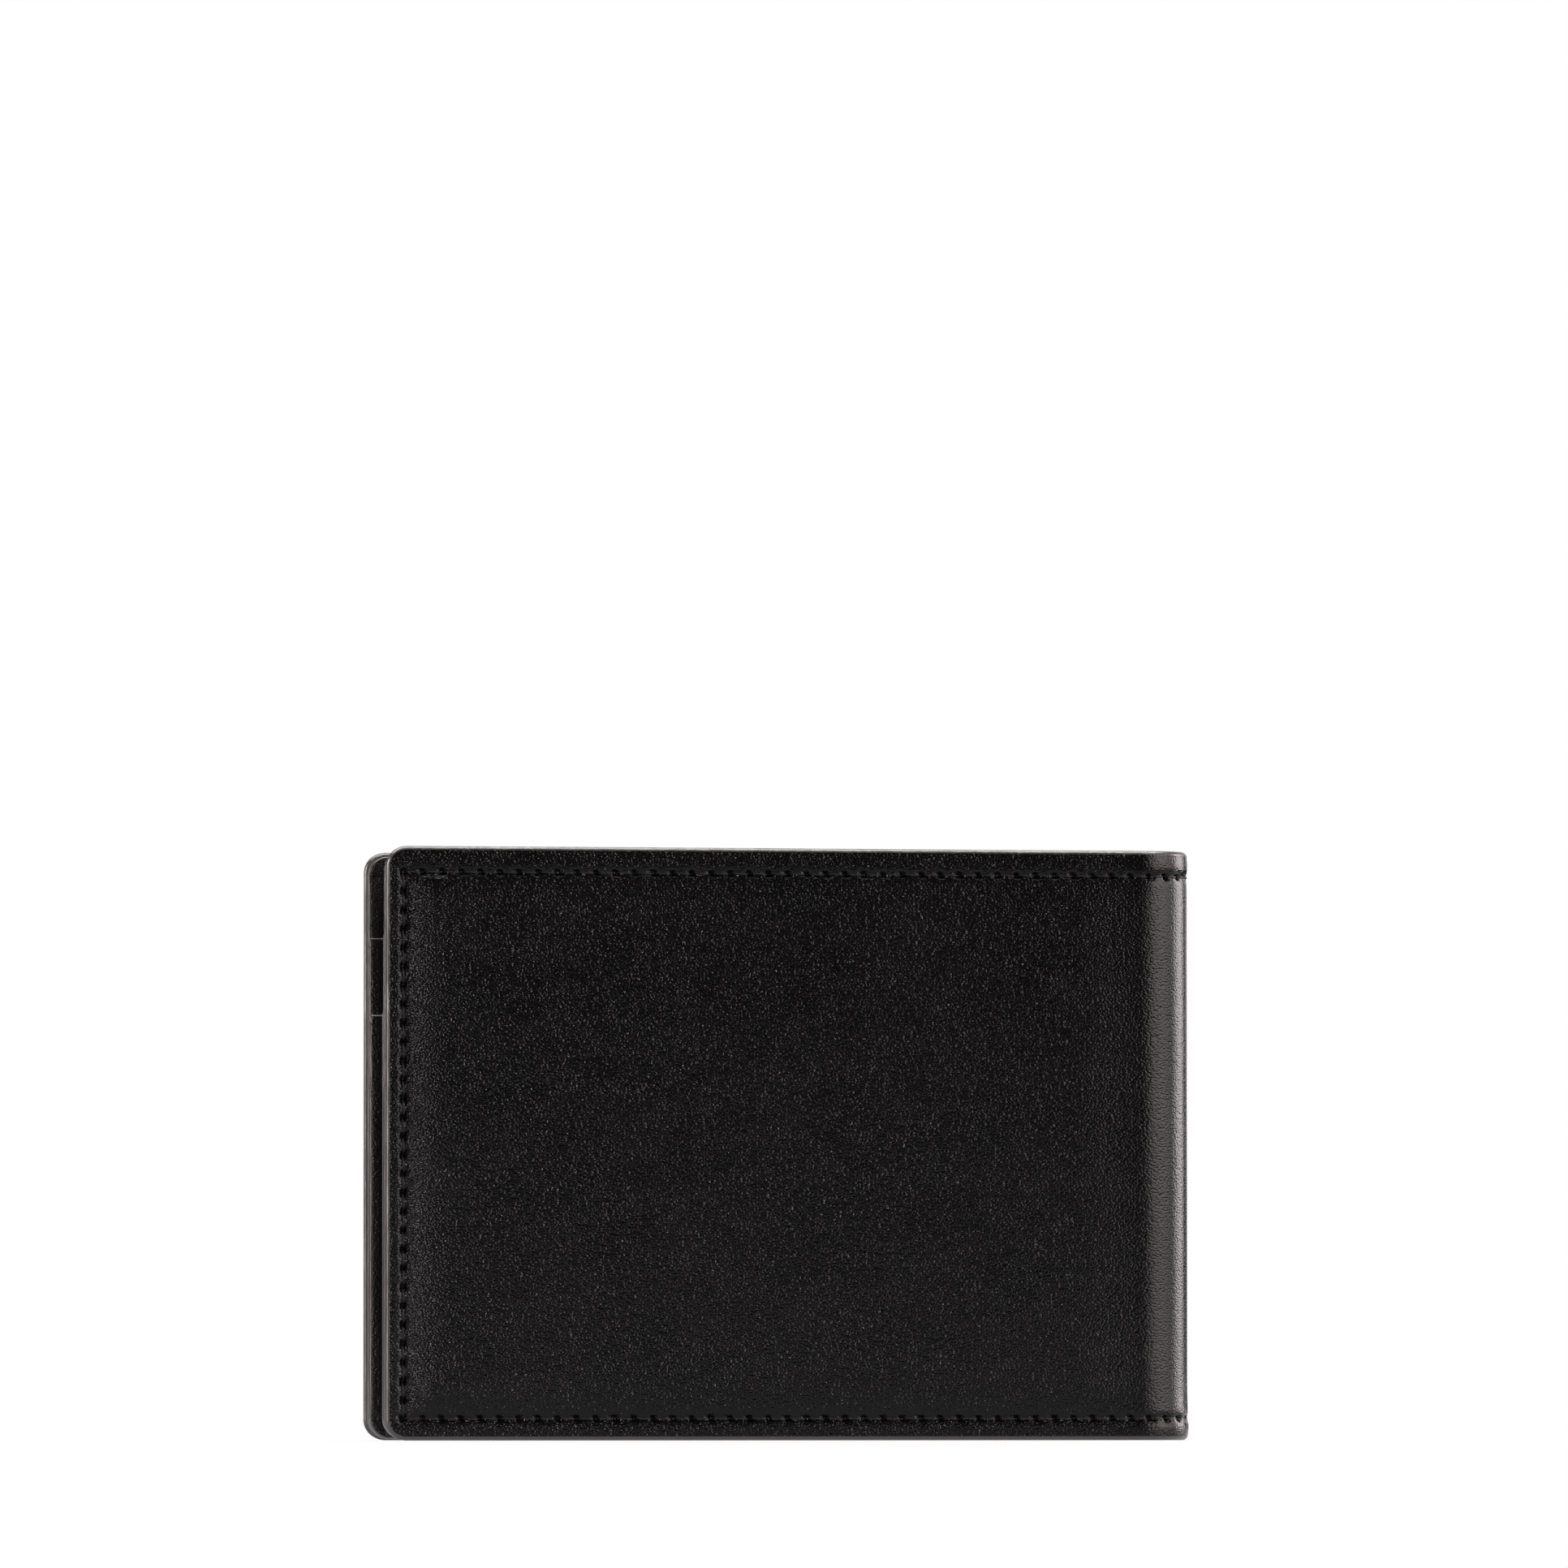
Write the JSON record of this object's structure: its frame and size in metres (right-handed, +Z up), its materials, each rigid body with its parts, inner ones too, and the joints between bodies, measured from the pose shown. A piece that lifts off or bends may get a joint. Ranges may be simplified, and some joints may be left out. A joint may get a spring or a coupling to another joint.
{
  "type": "bifold wallet",
  "caption": "Slim leather bifold wallet with card pockets in both halves and a full-length note compartment, turning on a rounded fold; stands folded on its long edge.",
  "frame": {"origin": "centre of the bounding box's bottom, on the surface the folded wallet stands on", "axes": "+Z up along the wallet's height, +X along its folded width towards the fold, +Y through its thickness towards the back half"},
  "size_m": [0.11, 0.018, 0.0784],
  "materials": {
    "cover_leather": "smooth black calf leather, satin",
    "pocket_leather": "smooth black calf leather, satin, painted edges",
    "lining_cloth": "black woven lining cloth",
    "padding": "thin bonded-fibre padding",
    "thread": "black sewing thread"
  },
  "bodies": {
    "back_half": {"back_cover": "cover_leather", "back_cover_padding": "padding", "back_cover_lining": "lining_cloth", "back_note_pocket_seam": "pocket_leather", "back_note_pocket_wall": "pocket_leather", "back_pocket_base": "pocket_leather", "back_upper_card_pocket": "pocket_leather", "back_upper_pocket_tail": "lining_cloth", "back_lower_card_pocket": "pocket_leather", "back_cover_thread": "thread", "back_seam_thread": "thread", "back_pocket_thread": "thread"},
    "fold": {"fold_cover": "cover_leather", "fold_lining": "lining_cloth", "fold_note_pocket_seam": "pocket_leather", "fold_note_pocket_wall": "pocket_leather", "fold_thread": "thread"},
    "front_half": {"front_cover": "cover_leather", "front_cover_padding": "padding", "front_cover_lining": "lining_cloth", "front_note_pocket_seam": "pocket_leather", "front_note_pocket_wall": "pocket_leather", "front_pocket_base": "pocket_leather", "front_upper_card_pocket": "pocket_leather", "front_upper_pocket_tail": "lining_cloth", "front_lower_card_pocket": "pocket_leather", "front_cover_thread": "thread", "front_seam_thread": "thread", "front_pocket_thread": "thread"}
  },
  "joints": [
    {"name": "back_crease", "type": "hinge", "parent": "back_half", "child": "fold", "pos_m": [0.0528, 0.0064, 0.0392], "axis": [0, 0, 1], "range_deg": [0, 90]},
    {"name": "front_crease", "type": "hinge", "parent": "fold", "child": "front_half", "pos_m": [0.0528, -0.0064, 0.0392], "axis": [0, 0, 1], "range_deg": [0, 90]}
  ],
  "couplings": [
    {"joint": "front_crease", "follows": "back_crease", "ratio": 1}
  ]
}
